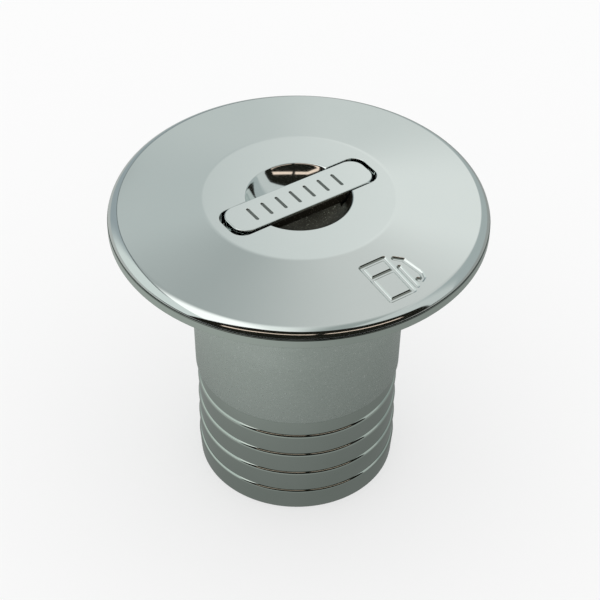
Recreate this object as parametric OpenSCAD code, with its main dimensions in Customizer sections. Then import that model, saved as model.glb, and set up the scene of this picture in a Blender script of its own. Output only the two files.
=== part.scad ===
// Deck fill cap: a polished round cap with a fold-flat handle, screwed into the
// neck of a cast through-deck body. Millimetres, +Z up, origin on the neck's axis
// at its lower end. The handle lies along X and its hinge is on the +X side.

/* [Body casting] */
// Height of the body, from the neck's lower end to the flange's top face
body_h = 80; // [66:1:100]
// Outside diameter of the flange and of the cap
flange_d = 95; // [92:0.5:114]
// Thickness of the flange
flange_t = 2.6; // [2.2:0.1:4]
// Outside diameter of the neck's plain barrel
neck_d = 54.4; // [54:0.1:58]
// Outside diameter of the neck at the foot of its cast taper
neck_foot_d = 53.5; // [52.8:0.1:56]
// Height of the plain cylindrical stretch of barrel under the flange
barrel_h = 26; // [16:1:30]
// Bore diameter of the neck
bore_d = 45.2; // [36:0.2:46]
// Leg of the fillet between the flange and the barrel
flange_fillet = 3; // [2:0.5:4]

/* [Hose barbs] */
// Height of the machined stretch that holds the barbs
barb_zone_h = 32; // [30:0.5:40]
// Number of barbs
barb_count = 4; // [2:1:5]
// Distance from one barb to the next
barb_pitch = 6.8; // [5:0.1:7]
// Diameter over the barbs' crests
barb_d = 52.6; // [51.6:0.1:53.4]
// Radial height of a barb
barb_depth = 0.45; // [0.2:0.05:0.8]
// Radius of the rounded upper edge of a barb
barb_round = 1; // [0.8:0.1:2]

/* [Deck screws] */
// Number of countersunk screw holes in the flange
deck_hole_count = 4; // [3:1:8]
// Diameter of the circle that the screw holes stand on
deck_hole_pcd = 76; // [74:0.5:82]
// Diameter of a screw hole
deck_hole_d = 5.2; // [4:0.1:6]
// Diameter of a countersink at the flange's top face
deck_sink_d = 9.6; // [8:0.1:11]

/* [Cap] */
// Height of the cap's flat centre above its lower edge
cap_h = 4.6; // [4.4:0.1:6]
// Diameter of the flat centre
flat_d = 48.6; // [46:0.2:56]
// Radius of the rounded shoulder at the cap's edge
shoulder_r = 3; // [2:0.1:3.4]
// Depth of the shoulder's centre below the cap's lower edge
shoulder_sink = 0.8; // [0:0.1:1.2]
// Diameter of the finger bowl at its rim
bowl_d = 26.6; // [22:0.2:28]
// Depth of the finger bowl
bowl_depth = 8.2; // [6:0.1:8.6]
// Wall of the cast cap under its bowl, pocket and hinge well
cap_wall = 1.5; // [1.2:0.1:2]
// Depth of the relief under the cap that clears the deck screws
relief_h = 1.2; // [0.6:0.1:1.6]

/* [Thread] */
// Pitch of the cap thread
thread_pitch = 3; // [2.5:0.1:3.6]
// Largest diameter of the cap's male thread
thread_d = 48.4; // [48:0.1:48.8]
// Radial depth of the thread
thread_depth = 1; // [0.6:0.1:1.1]
// Clearance between the male and the female thread
thread_gap = 0.3; // [0.25:0.05:0.4]
// Length of the threaded sleeve
sleeve_h = 9.7; // [8:0.1:12]
// Length of the female bush
bush_h = 19; // [12:0.5:20]
// Outside diameter of the female bush
bush_d = 50.8; // [50.4:0.1:51.2]

/* [Handle] */
// Length of the handle
handle_l = 41; // [34:0.5:42]
// Width of the handle
handle_w = 10.2; // [8:0.1:10.4]
// Thickness of the handle
handle_t = 3; // [2.4:0.1:3.2]
// Radius of the handle's corners, seen from above
handle_corner_r = 3.9; // [1:0.1:3.9]
// Slope at which the folded handle rests, its free end proud
handle_tilt = 0.9; // [0:0.1:1.5]
// Distance of the hinge pin from the handle's hinged end
hinge_inset = 3.5; // [3.2:0.1:4]
// Diameter of the hinge pin
pin_d = 2; // [1.6:0.1:2.2]
// Gap between the handle's ends and the pocket
end_gap = 1; // [0.9:0.1:1.4]
// Gap between the handle's sides and the pocket
side_gap = 0.4; // [0.35:0.05:0.6]
// Width of the grip grooves across the handle
groove_w = 0.8; // [0.5:0.1:1.2]

/* [Engraving] */
// Depth of the engraved marks
mark_depth = 0.6; // [0.2:0.05:0.7]
// Width of the pump symbol's strokes
stroke = 1.3; // [0.6:0.1:1.5]

/* [Seals and clearances] */
// Thickness of the O-ring's cord
ring_cord = 3.2; // [2.6:0.1:3.4]
// Gap at the seam between the cap and the flange
seam_gap = 0.2; // [0.15:0.05:0.4]
// Thickness of the backing plate
plate_t = 1.6; // [1.2:0.1:2.4]
// Thickness of the backing plate's gasket
gasket_t = 1; // [0.8:0.1:1.5]
// Number of screws that hold the backing plate
plate_screw_count = 4; // [4:1:4]
// Diameter of a backing-plate screw
plate_screw_d = 3; // [2.5:0.1:3]

/* [Hidden] */
$fn = 96;
eps = 0.01;

chrome = [0.80, 0.83, 0.82];
cast_metal = [0.60, 0.62, 0.58];
nylon = [0.16, 0.16, 0.17];
rubber = [0.10, 0.10, 0.10];
steel = [0.70, 0.71, 0.72];

// Body casting
flange_r = flange_d / 2;
neck_r = neck_d / 2;
bore_r = bore_d / 2;
flange_z = body_h - flange_t;
rebate_gap = 0.3;

// Cap, measured up from the neck's lower end
cap_z = body_h + seam_gap;
top_z = cap_z + cap_h;
flat_r = flat_d / 2;
shoulder_x = flange_r - shoulder_r;
shoulder_z = cap_z - shoulder_sink;
cone_drop = top_z - shoulder_z - shoulder_r;
bowl_r = bowl_d / 2;
bowl_ball_r = (bowl_r * bowl_r + bowl_depth * bowl_depth) / (2 * bowl_depth);
bowl_ball_z = top_z - bowl_depth + bowl_ball_r;
bowl_lip = 0.35;

// Thread: the male sleeve is carried on the cap's skirt, the bush sits in the neck
male_r = thread_d / 2;
male_core_r = male_r - thread_depth;
sleeve_wall = 1.7;
sleeve_bore_r = male_core_r - sleeve_wall;
sleeve_fit = 0.1;
skirt_r = sleeve_bore_r - sleeve_fit;
skirt_wall = 2;
cavity_r = skirt_r - skirt_wall;
crest_share = 0.25;
root_share = 0.65;
thread_steps = 48;
thread_rise = 0.375;

// Heights inside the neck, from the rebate that the O-ring lies in
ring_r = ring_cord / 2;
rebate_h = ring_cord + rebate_gap;
rebate_z = body_h - rebate_h;
bush_z = rebate_z - bush_h;
hub_z = rebate_z + rebate_gap;
ring_hub_r = male_r;
ring_centre_r = ring_hub_r + 0.2 + ring_r;
ring_z = body_h - ring_r;
rebate_r = ring_centre_r + ring_r + rebate_gap;
sleeve_top_z = hub_z - sleeve_fit;
sleeve_z = sleeve_top_z - sleeve_h;
plate_z = sleeve_z - plate_t;
skirt_z = sleeve_z + gasket_t;
plate_r = male_core_r - 0.5;
plate_screw_r = cavity_r - 2.6;
plate_boss_r = 2.9;
plate_screw_l = 8;
plate_head_r = plate_screw_d;
plate_head_h = 1.8;
screw_fit = 0.2;

// Handle and its hinge
handle_end = handle_l / 2;
pin_r = pin_d / 2;
pin_x = handle_end - hinge_inset;
knuckle_r = pin_r + 1.2;
pin_z = top_z - knuckle_r - 0.05;
hinge_bush_wall = 0.5;
hinge_bush_flange = side_gap - 0.1;
running_fit = 0.04;
pin_half_l = handle_w / 2 + side_gap + 2.35;
pocket_end = handle_end + end_gap;
pocket_w = handle_w + 2 * side_gap;
pocket_corner_r = min(handle_corner_r + side_gap, 3.6);
pocket_floor_z = top_z - handle_t - 0.9;
well_r = norm([hinge_inset, knuckle_r]) + 0.15;
ceiling_z = pocket_floor_z + 0.1;
relief_inner_r = rebate_r + 0.7;
relief_outer_r = flange_r - shoulder_r - 0.7;
pad_r = 2;
pad_x = -handle_end + 3;
pad_seat = 0.4;
pad_h = 1.5;

// Chain eye under the middle of the backing plate
eye_shank_r = 1.5;
eye_ring_r = 2.6;
eye_wire_r = 0.9;
eye_nut_h = 2.4;
eye_nut_r = 3.1;
eye_washer_r = 3.4;
eye_washer_t = 0.8;

// Engraved pump symbol, in front of the handle
symbol_y = -36.1;
symbol_x = 0.5;
groove_pitch = 4.2;
groove_x = -1.2;

// ---- shared shapes ----

// Share of the full thread depth at a point, 1 on the crest and 0 at the root.
// gap widens the shape along the axis, for the female thread.
function thread_share(angle, z, gap) =
    let (turns = z / thread_pitch - angle / 360,
         away = abs(turns - floor(turns) - 0.5) * 2,
         shift = gap * 2 / thread_pitch)
    min(1, max(0, (root_share + shift - away) / (root_share - crest_share)));

// Ramp that lets a thread run out over one millimetre at both ends
function run_out(z, low, high) = max(0, min(1, min(z - low, high - z) - 0.2));

// A ring whose one side is a thread and whose other side is a plain cylinder.
// The threaded side's rows go up by thread_rise, each of thread_steps points.
// outward is true where the thread is on the outside.
module ring_mesh(low, high, thread_radius, plain_r, outward) {
    rows = ceil((high - low) / thread_rise);
    plain = (rows + 1) * thread_steps;
    function at(i, j) = i * thread_steps + (j % thread_steps);
    function row_z(i) = low + (high - low) * i / rows;
    function spot(r, j, z) = [r * cos(360 * j / thread_steps), r * sin(360 * j / thread_steps), z];
    points = concat(
        [for (i = [0:rows], j = [0:thread_steps - 1])
            spot(thread_radius(360 * j / thread_steps, row_z(i)), j, row_z(i))],
        [for (z = [low, high], j = [0:thread_steps - 1]) spot(plain_r, j, z)]);
    thread_faces = [for (i = [0:rows - 1], j = [0:thread_steps - 1], k = [0, 1])
        k == 0 ? [at(i, j), at(i + 1, j), at(i + 1, j + 1)]
               : [at(i, j), at(i + 1, j + 1), at(i, j + 1)]];
    plain_faces = [for (j = [0:thread_steps - 1], k = [0, 1])
        k == 0 ? [plain + at(0, j), plain + at(1, j + 1), plain + at(1, j)]
               : [plain + at(0, j), plain + at(0, j + 1), plain + at(1, j + 1)]];
    low_faces = [for (j = [0:thread_steps - 1], k = [0, 1])
        k == 0 ? [at(0, j), at(0, j + 1), plain + at(0, j + 1)]
               : [at(0, j), plain + at(0, j + 1), plain + at(0, j)]];
    high_faces = [for (j = [0:thread_steps - 1], k = [0, 1])
        k == 0 ? [at(rows, j), plain + at(1, j + 1), at(rows, j + 1)]
               : [at(rows, j), plain + at(1, j), plain + at(1, j + 1)]];
    faces = concat(thread_faces, plain_faces, low_faces, high_faces);
    polyhedron(points, outward ? faces : [for (f = faces) [f[2], f[1], f[0]]]);
}

// A rounded rectangle that stands up from z = 0, centred on the axis
module rounded_bar(l, w, r, h) {
    linear_extrude(h) {
        square([l - 2 * r, w], center = true);
        square([l, w - 2 * r], center = true);
        for (sx = [-1, 1], sy = [-1, 1])
            translate([sx * (l / 2 - r), sy * (w / 2 - r)]) circle(r);
    }
}

// A cylinder across the handle, centred on the hinge pin
module across(r, half_l) {
    translate([pin_x, half_l, pin_z]) rotate([90, 0, 0]) cylinder(r = r, h = 2 * half_l);
}

// One engraved stroke with round ends between two points
module stroke_line(a, b) {
    d = b - a;
    translate(a) rotate(atan2(d.y, d.x)) translate([0, -stroke / 2]) square([norm(d), stroke]);
    translate(a) circle(d = stroke);
    translate(b) circle(d = stroke);
}

// Strokes through a list of points
module stroke_path(points) {
    for (i = [0:len(points) - 2]) stroke_line(points[i], points[i + 1]);
}

// The place of one backing-plate screw
module at_plate_screw(i) {
    rotate(45 + 360 * i / plate_screw_count) translate([plate_screw_r, 0, 0]) children();
}

// ---- body ----

// Outline of the neck and flange, from the axis outwards
module body_outline() {
    barb_r = barb_d / 2;
    root_r = barb_r - barb_depth;
    top_barb_z = barb_count * barb_pitch;
    neck = [[0, 0], [root_r, 0]];
    turn = acos(1 - barb_depth / barb_round);
    arc_steps = 4;
    barbs = [for (i = [1:barb_count], k = [0:arc_steps])
        let (a = turn * k / arc_steps)
        [barb_r - barb_round * (1 - cos(a)),
         i * barb_pitch - barb_round * (sin(turn) - sin(a))]];
    rest = [[root_r, barb_zone_h], [neck_foot_d / 2, barb_zone_h],
            [neck_r, flange_z - barrel_h], [neck_r, flange_z - flange_fillet],
            [neck_r + flange_fillet, flange_z], [flange_r - 0.3, flange_z],
            [flange_r, flange_z + 0.3], [flange_r, body_h], [0, body_h]];
    polygon(concat(neck, barbs, rest));
}

module body_casting() {
    color(cast_metal) difference() {
        rotate_extrude() body_outline();
        translate([0, 0, -1]) cylinder(r = bore_r, h = body_h + 2);
        translate([0, 0, bush_z]) cylinder(d = bush_d, h = body_h);
        translate([0, 0, rebate_z]) cylinder(r = rebate_r, h = body_h);
        for (i = [0:deck_hole_count - 1])
            rotate(45 + 360 * i / deck_hole_count) translate([deck_hole_pcd / 2, 0, 0]) {
                translate([0, 0, flange_z - 1]) cylinder(d = deck_hole_d, h = flange_t + 2);
                translate([0, 0, body_h - (deck_sink_d - deck_hole_d) / 2])
                    cylinder(d1 = deck_hole_d, d2 = deck_sink_d + 2 * eps,
                             h = (deck_sink_d - deck_hole_d) / 2 + eps);
            }
    }
}

module thread_bush() {
    core_r = male_core_r + thread_gap;
    color(steel) ring_mesh(bush_z, rebate_z,
        function(a, z) core_r + thread_depth * thread_share(a, z, thread_gap),
        bush_d / 2, outward = false);
}

// ---- cap ----

// Solid outline of the cap's disc, hub and skirt
module cap_outline() {
    slope = atan(cone_drop / (shoulder_x - flat_r));
    polygon([[0, skirt_z], [skirt_r, skirt_z], [skirt_r, hub_z], [ring_hub_r, hub_z],
             [ring_hub_r, cap_z], [shoulder_x + 0.5, cap_z],
             [shoulder_x + 0.5, shoulder_z + shoulder_r - 0.2],
             [shoulder_x + shoulder_r * sin(slope), shoulder_z + shoulder_r * cos(slope)],
             [flat_r, top_z], [0, top_z]]);
    intersection() {
        translate([shoulder_x, shoulder_z]) circle(r = shoulder_r);
        translate([shoulder_x - 1, cap_z]) square(shoulder_r + 2);
    }
}

// Everything that stands down into the skirt's hollow: the walls of the bowl, of
// the handle's pocket and of the hinge well, and the bosses for the plate screws
module cap_inner_walls() {
    roof = 0.3;
    intersection() {
        translate([0, 0, bowl_ball_z]) sphere(r = bowl_ball_r + cap_wall);
        translate([0, 0, skirt_z]) cylinder(r = cavity_r + 0.5, h = ceiling_z + roof - skirt_z);
    }
    translate([0, 0, pocket_floor_z - cap_wall])
        rounded_bar(2 * pocket_end + 2, pocket_w + 2 * cap_wall, 3, cap_wall + roof);
    intersection() {
        across(well_r + cap_wall, pocket_w / 2 + cap_wall);
        translate([0, 0, skirt_z]) cylinder(r = ring_hub_r, h = ceiling_z + roof - skirt_z);
    }
    for (i = [0:plate_screw_count - 1]) at_plate_screw(i)
        translate([0, 0, skirt_z]) cylinder(r = plate_boss_r, h = ceiling_z + roof - skirt_z);
}

// The pump symbol: a tank with its window bar, a nozzle holder and a hooked hose
module pump_symbol() {
    half_w = 3.3;
    half_h = 6;
    stroke_path([[-half_w, -half_h], [-half_w, half_h], [half_w, half_h], [half_w, -half_h],
                 [-half_w, -half_h]]);
    stroke_line([-half_w, 1.85], [half_w, 1.85]);
    stroke_line([4.85, 1.8], [4.85, -5.2]);
    stroke_path([[5.4, 4.8], [7.1, 3.3], [8.3, -2.2], [7.9, -3.6], [6.9, -4.2], [6.4, -3.6]]);
}

module symbol_cut() {
    difference() {
        translate([symbol_x, symbol_y, cap_z + 0.5]) linear_extrude(cap_h) pump_symbol();
        translate([0, 0, -mark_depth]) rotate_extrude() cap_outline();
    }
}

module cap_cover() {
    color(chrome) difference() {
        union() {
            difference() {
                rotate_extrude() cap_outline();
                translate([0, 0, skirt_z - 1]) cylinder(r = cavity_r, h = ceiling_z - skirt_z + 1);
                difference() {
                    translate([0, 0, cap_z - 1]) cylinder(r = relief_outer_r, h = 1 + relief_h);
                    translate([0, 0, cap_z - 2]) cylinder(r = relief_inner_r, h = 3 + relief_h);
                }
            }
            cap_inner_walls();
        }
        // finger bowl, with a broken edge
        translate([0, 0, bowl_ball_z]) sphere(r = bowl_ball_r);
        translate([0, 0, top_z - bowl_lip])
            cylinder(r1 = bowl_r - bowl_lip, r2 = bowl_r + 2 * bowl_lip, h = 2 * bowl_lip);
        // handle pocket and the well that its hinged end turns in
        translate([0, 0, pocket_floor_z])
            rounded_bar(2 * pocket_end, pocket_w, pocket_corner_r, top_z);
        intersection() {
            across(well_r, pocket_w / 2);
            translate([0, 0, skirt_z]) cylinder(r = pocket_end, h = top_z - skirt_z - 1);
        }
        // channels that the hinge pin goes up into
        for (s = [-1, 1]) translate([pin_x, s * (pocket_w / 2 + 1.2), 0]) {
            translate([-pin_r - running_fit, -1.3, skirt_z - 1])
                cube([pin_d + 2 * running_fit, 2.6, pin_z - skirt_z + 1]);
            translate([0, 1.3, pin_z]) rotate([90, 0, 0])
                cylinder(r = pin_r + running_fit, h = 2.6);
        }
        // rest pad's seat and the plate screws' holes
        translate([pad_x, 0, pocket_floor_z - pad_seat]) cylinder(r = pad_r, h = 2);
        for (i = [0:plate_screw_count - 1]) at_plate_screw(i)
            translate([0, 0, skirt_z - 1]) cylinder(d = plate_screw_d, h = plate_screw_l);
        symbol_cut();
    }
}

module thread_sleeve() {
    color(nylon) ring_mesh(sleeve_z, sleeve_top_z,
        function(a, z) male_core_r + thread_depth * thread_share(a, z, 0)
            * run_out(z, sleeve_z, sleeve_top_z),
        sleeve_bore_r, outward = true);
}

module backing_plate() {
    color(steel) difference() {
        translate([0, 0, plate_z]) cylinder(r = plate_r, h = plate_t);
        translate([0, 0, plate_z - 1]) cylinder(r = eye_shank_r, h = plate_t + 2);
        for (i = [0:plate_screw_count - 1]) at_plate_screw(i)
            translate([0, 0, plate_z - 1]) cylinder(d = plate_screw_d + screw_fit, h = plate_t + 2);
    }
}

module plate_gasket() {
    color(rubber) difference() {
        translate([0, 0, sleeve_z]) cylinder(r = skirt_r - 0.2, h = gasket_t);
        translate([0, 0, sleeve_z - 1]) cylinder(r = 6, h = gasket_t + 2);
        for (i = [0:plate_screw_count - 1]) at_plate_screw(i)
            translate([0, 0, sleeve_z - 1]) cylinder(d = plate_screw_d + screw_fit, h = gasket_t + 2);
    }
}

// A pan-head screw that goes up through the plate and the gasket into its boss
module plate_screw(i) {
    color(steel) at_plate_screw(i) difference() {
        union() {
            translate([0, 0, plate_z - plate_head_h]) cylinder(r = plate_head_r, h = plate_head_h);
            translate([0, 0, plate_z - eps]) cylinder(d = plate_screw_d, h = plate_screw_l);
        }
        for (a = [0, 90]) rotate(a)
            translate([-plate_head_r * 0.6, -0.35, plate_z - plate_head_h - 1])
                cube([plate_head_r * 1.2, 0.7, 1.9]);
    }
}

// ---- handle ----

// Short grip grooves cut across the handle's top
module grip_grooves() {
    for (i = [-3:3])
        translate([i * groove_pitch + groove_x, 0, top_z - mark_depth])
            rounded_bar(groove_w, handle_w * 0.5, groove_w / 2 - eps, 1);
}

module folding_handle() {
    color(chrome) translate([pin_x, 0, pin_z]) rotate([0, handle_tilt, 0])
    translate([-pin_x, 0, -pin_z]) difference() {
        union() {
            translate([0, 0, top_z - handle_t])
                rounded_bar(handle_l, handle_w, handle_corner_r, handle_t);
            across(knuckle_r, handle_w / 2);
        }
        across(pin_r + running_fit + hinge_bush_wall, handle_w);
        grip_grooves();
    }
}

// A flanged bush that lines one half of the handle's pin bore
module hinge_bush(s) {
    color(nylon) translate([pin_x, 0, pin_z]) rotate([-90 * s, 0, 0]) difference() {
        union() {
            cylinder(r = pin_r + running_fit + hinge_bush_wall, h = handle_w / 2 + eps);
            translate([0, 0, handle_w / 2])
                cylinder(r = knuckle_r - 0.2, h = hinge_bush_flange);
        }
        translate([0, 0, -1]) cylinder(r = pin_r + running_fit, h = handle_w);
    }
}

module hinge_pin() {
    color(steel) across(pin_r, pin_half_l);
}

// A block that stands on the plate gasket and holds the pin up in its channels
module pin_keeper() {
    leg_y = pocket_w / 2 + cap_wall + 0.1;
    low_x = pin_x - 3.4;
    base_top_z = pin_z - well_r - cap_wall - 0.2;
    half_w = pin_half_l + 0.1;
    reach = sqrt(pow(cavity_r - 0.1, 2) - half_w * half_w) - low_x;
    color(nylon) difference() {
        union() {
            translate([low_x, -half_w, skirt_z])
                cube([reach, 2 * half_w, ceiling_z - 0.1 - skirt_z]);
            translate([pin_x - pin_r, -half_w, skirt_z])
                cube([pin_d, 2 * half_w, pin_z - pin_r - skirt_z]);
        }
        translate([low_x - 1, -leg_y, base_top_z]) cube([reach + 2, 2 * leg_y, pin_z]);
    }
}

module rest_pad() {
    color(rubber) translate([pad_x, 0, pocket_floor_z - pad_seat]) cylinder(r = pad_r, h = pad_h);
}

// ---- seal and chain eye ----

module main_o_ring() {
    color(rubber) translate([0, 0, ring_z])
        rotate_extrude() translate([ring_centre_r, 0]) circle(r = ring_r);
}

module chain_eye() {
    shank_top_z = sleeve_z + eye_washer_t + eye_nut_h + 0.6;
    color(steel) {
        translate([0, 0, plate_z - 1.2]) cylinder(r = 2.6, h = 1.2);
        translate([0, 0, plate_z - eye_ring_r - 1.5]) rotate([90, 0, 0])
            rotate_extrude() translate([eye_ring_r, 0]) circle(r = eye_wire_r);
        translate([0, 0, plate_z - eps]) cylinder(r = eye_shank_r, h = shank_top_z - plate_z);
    }
}

module chain_eye_washer() {
    color(rubber) translate([0, 0, sleeve_z]) difference() {
        cylinder(r = eye_washer_r, h = eye_washer_t);
        translate([0, 0, -1]) cylinder(r = eye_shank_r, h = eye_washer_t + 2);
    }
}

module chain_eye_nut() {
    color(steel) translate([0, 0, sleeve_z + eye_washer_t]) difference() {
        cylinder(r = eye_nut_r, h = eye_nut_h, $fn = 6);
        translate([0, 0, -1]) cylinder(r = eye_shank_r, h = eye_nut_h + 2);
    }
}

body_casting();
thread_bush();
cap_cover();
thread_sleeve();
backing_plate();
plate_gasket();
plate_screw(0);  // plate_screw_1
plate_screw(1);  // plate_screw_2
plate_screw(2);  // plate_screw_3
plate_screw(3);  // plate_screw_4
folding_handle();
hinge_bush(1);  // hinge_bush_1
hinge_bush(-1);  // hinge_bush_2
hinge_pin();
pin_keeper();
rest_pad();
main_o_ring();
chain_eye();
chain_eye_nut();
chain_eye_washer();
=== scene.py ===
import math

import bmesh
import bpy
import numpy as np
from mathutils import Matrix, Vector


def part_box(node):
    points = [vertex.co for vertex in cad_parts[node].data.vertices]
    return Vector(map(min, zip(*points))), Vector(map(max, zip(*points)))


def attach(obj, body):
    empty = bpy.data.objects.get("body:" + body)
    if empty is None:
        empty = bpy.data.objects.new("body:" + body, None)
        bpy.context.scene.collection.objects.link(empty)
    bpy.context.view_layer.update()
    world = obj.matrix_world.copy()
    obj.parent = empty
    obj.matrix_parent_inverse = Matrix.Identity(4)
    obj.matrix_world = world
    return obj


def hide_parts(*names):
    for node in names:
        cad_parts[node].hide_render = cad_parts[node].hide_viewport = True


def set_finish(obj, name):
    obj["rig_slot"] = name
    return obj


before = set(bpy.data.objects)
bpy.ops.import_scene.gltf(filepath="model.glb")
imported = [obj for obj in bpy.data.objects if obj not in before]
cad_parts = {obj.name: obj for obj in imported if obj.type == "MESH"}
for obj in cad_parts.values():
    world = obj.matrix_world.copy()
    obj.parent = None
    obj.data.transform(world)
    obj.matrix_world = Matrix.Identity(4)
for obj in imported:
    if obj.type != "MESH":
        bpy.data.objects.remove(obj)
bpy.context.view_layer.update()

# Lengths below are in millimetres, and MM turns them into metres. Most are the CAD source's
# own. barb_round, groove_depth, stroke_depth and stroke_r are the visual's, which rounds the
# barbs further and cuts the engraving shallower and round-bottomed.
MM = 0.001
SEGMENTS = 256          # sides of a large turned shape
SMALL_SEGMENTS = 64     # sides of a small turned shape


def corners_of(node):
    """Lowest and highest corner of a CAD node, in millimetres."""
    low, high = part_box(node)
    return low / MM, high / MM


body_high = corners_of("body_casting")[1]
cap_low, cap_high = corners_of("cap_cover")
sleeve_low, sleeve_high = corners_of("thread_sleeve")
bush_low, bush_high = corners_of("thread_bush")
plate_low, plate_high = corners_of("backing_plate")
ring_low, ring_high = corners_of("main_o_ring")
eye_high = corners_of("chain_eye")[1]
screw_high = corners_of("plate_screw_1")[1]
pad_low, pad_high = corners_of("rest_pad")

# Body
flange_r = body_high.x
flange_top = body_high.z
flange_t = 2.6
neck_r = 27.2
neck_foot_r = 26.75
barrel_low = 51.4
flange_fillet = 3.0
bore_r = 22.6
bush_r = bush_high.x
barb_zone_h = 32.0
barb_count = 4
barb_pitch = 6.8
barb_r = 26.3
barb_depth = 0.45
barb_round = 1.25
deck_hole_r = 2.6
deck_sink_r = 4.8
deck_circle_r = 38.0
deck_hole_count = 4

# Cap
top = cap_high.z
edge_z = 80.2
flat_r = 24.3
shoulder_r = 3.0
shoulder_x = flange_r - shoulder_r
shoulder_z = 79.4
bowl_r = 13.3
bowl_depth = 8.2
cap_wall = 1.5
ceiling_z = 81.0
relief_top = 81.4
relief_inner_r = 28.6
relief_outer_r = 43.8
hub_r = 24.2
hub_z = 76.8
skirt_r = 21.4
skirt_low = cap_low.z
cavity_r = 19.4
rebate_r = 27.9
rebate_z = 76.5

# Handle, its pocket and its hinge
handle_l = 41.0
handle_w = 10.2
handle_t = 3.0
handle_corner_r = 3.9
handle_tilt = math.radians(0.9)
pin_r = 1.0
pin_fit = 0.04
pin_x = 17.0
pin_z = 82.55
knuckle_r = 2.2
hinge_bore_r = 1.54
side_gap = 0.4
end_gap = 1.0
pocket_l = handle_l + 2 * end_gap
pocket_w = handle_w + 2 * side_gap
pocket_corner_r = 3.6
pocket_floor = 80.9
well_r = 4.284
pin_half_l = 7.85

# Engraving
groove_depth = 0.4
stroke_depth = 0.42
stroke_r = 0.7
groove_w = 0.8
groove_pitch = 4.2
groove_x = -1.2         # the middle groove
groove_each_side = 3
groove_l = handle_w * 0.5
symbol_x = 0.5
symbol_y = -36.1

# Small parts
plate_screw_count = 4
plate_screw_circle_r = 16.8
plate_screw_r = 1.5
screw_head_h = 1.8
screw_head_r = 3.0
screw_pitch = 0.7
eye_wire_r = 0.9
eye_collar_h = 1.2
eye_ring_drop = 1.5
male_core_r = 23.2
female_core_r = 23.5
thread_depth = 1.0
thread_pitch = 3.0
crest_share = 0.25
root_share = 0.65


# ---- mesh helpers ----

def mesh_object(name, points, faces):
    """A closed mesh object from points in millimetres, its faces turned outwards."""
    mesh = bpy.data.meshes.new(name)
    mesh.from_pydata([tuple(c * MM for c in p) for p in points], [], faces)
    shaped = bmesh.new()
    shaped.from_mesh(mesh)
    bmesh.ops.recalc_face_normals(shaped, faces=shaped.faces)
    shaped.to_mesh(mesh)
    shaped.free()
    made = bpy.data.objects.new(name, mesh)
    bpy.context.scene.collection.objects.link(made)
    return made


def rounded(corners, steps=6):
    """Points of a line through (r, z, radius) corners, each rounded by its radius."""
    points = []
    for i, (x, z, radius) in enumerate(corners):
        here = Vector((x, z))
        if radius == 0:
            points.append(here)
            continue
        before = (Vector(corners[i - 1][:2]) - here).normalized()
        after = (Vector(corners[(i + 1) % len(corners)][:2]) - here).normalized()
        half = before.angle(after) / 2
        centre = here + (before + after).normalized() * (radius / math.sin(half))
        start = here + before * (radius / math.tan(half)) - centre
        turn = math.copysign(math.pi - 2 * half, start.cross(after))
        for k in range(steps + 1):
            arm = Matrix.Rotation(turn * k / steps, 2) @ start
            points.append(centre + arm)
    return points


def arc(centre, radius, start_deg, end_deg, steps):
    """Points along a circle's arc, both ends included."""
    angles = [math.radians(start_deg + (end_deg - start_deg) * k / steps) for k in range(steps + 1)]
    return [Vector((centre[0] + radius * math.cos(a), centre[1] + radius * math.sin(a)))
            for a in angles]


def lathe(name, outline, closed=False, segments=SEGMENTS):
    """An outline of (r, z) points turned about Z. An open outline ends on the axis."""
    points = []
    rings = []
    for r, z in outline:
        count = segments if r > 1e-6 else 1
        rings.append(list(range(len(points), len(points) + count)))
        for k in range(count):
            angle = 2 * math.pi * k / segments
            points.append((r * math.cos(angle), r * math.sin(angle), z))
    faces = []
    pairs = list(zip(rings, rings[1:] + rings[:1])) if closed else list(zip(rings, rings[1:]))
    for one, two in pairs:
        for k in range(segments):
            n = (k + 1) % segments
            corners = [one[k % len(one)], one[n % len(one)], two[n % len(two)], two[k % len(two)]]
            faces.append(list(dict.fromkeys(corners)))
    return mesh_object(name, points, [f for f in faces if len(f) > 2])


def stack(name, levels, loop):
    """A closed solid from level rings. loop(grow) gives a flat outline, levels are (z, grow)."""
    points = []
    count = len(loop(0))
    for z, grow in levels:
        points += [(x, y, z) for x, y in loop(grow)]
    faces = [list(range(count)), list(range((len(levels) - 1) * count, len(levels) * count))]
    for i in range(len(levels) - 1):
        for k in range(count):
            n = (k + 1) % count
            faces.append([i * count + k, i * count + n, (i + 1) * count + n, (i + 1) * count + k])
    return mesh_object(name, points, faces)


def bar_loop(length, width, radius, steps=8):
    """A function that gives a rounded rectangle's outline, grown by some amount."""
    def loop(grow):
        x = length / 2 - radius
        y = width / 2 - radius
        points = []
        for quarter, (sx, sy) in enumerate([(1, 1), (-1, 1), (-1, -1), (1, -1)]):
            start = 90 * quarter
            points += arc((sx * x, sy * y), radius + grow, start, start + 90, steps)
        return points
    return loop


def round_loop(radius, count=SMALL_SEGMENTS):
    """A function that gives a circle's outline, grown by some amount."""
    def loop(grow):
        return [Vector(((radius + grow) * math.cos(2 * math.pi * k / count),
                        (radius + grow) * math.sin(2 * math.pi * k / count)))
                for k in range(count)]
    return loop


def edge_levels(low, high, low_round, high_round, steps=5):
    """Levels of a block whose lower and upper edges are rounded."""
    levels = []
    for k in range(steps + 1):
        angle = math.pi / 2 * k / steps
        levels.append((low + low_round * (1 - math.sin(angle)), -low_round * (1 - math.cos(angle))))
    levels = levels[::-1]
    for k in range(steps + 1):
        angle = math.pi / 2 * k / steps
        levels.append((high - high_round * (1 - math.sin(angle)), -high_round * (1 - math.cos(angle))))
    return levels


def moved(made, matrix):
    """Moves a mesh's points by a matrix whose lengths are in millimetres."""
    shift = Matrix.Translation(matrix.translation * MM) @ matrix.to_3x3().to_4x4()
    made.data.transform(shift)
    return made


def place(x, y, z):
    return Matrix.Translation((x, y, z))


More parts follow.
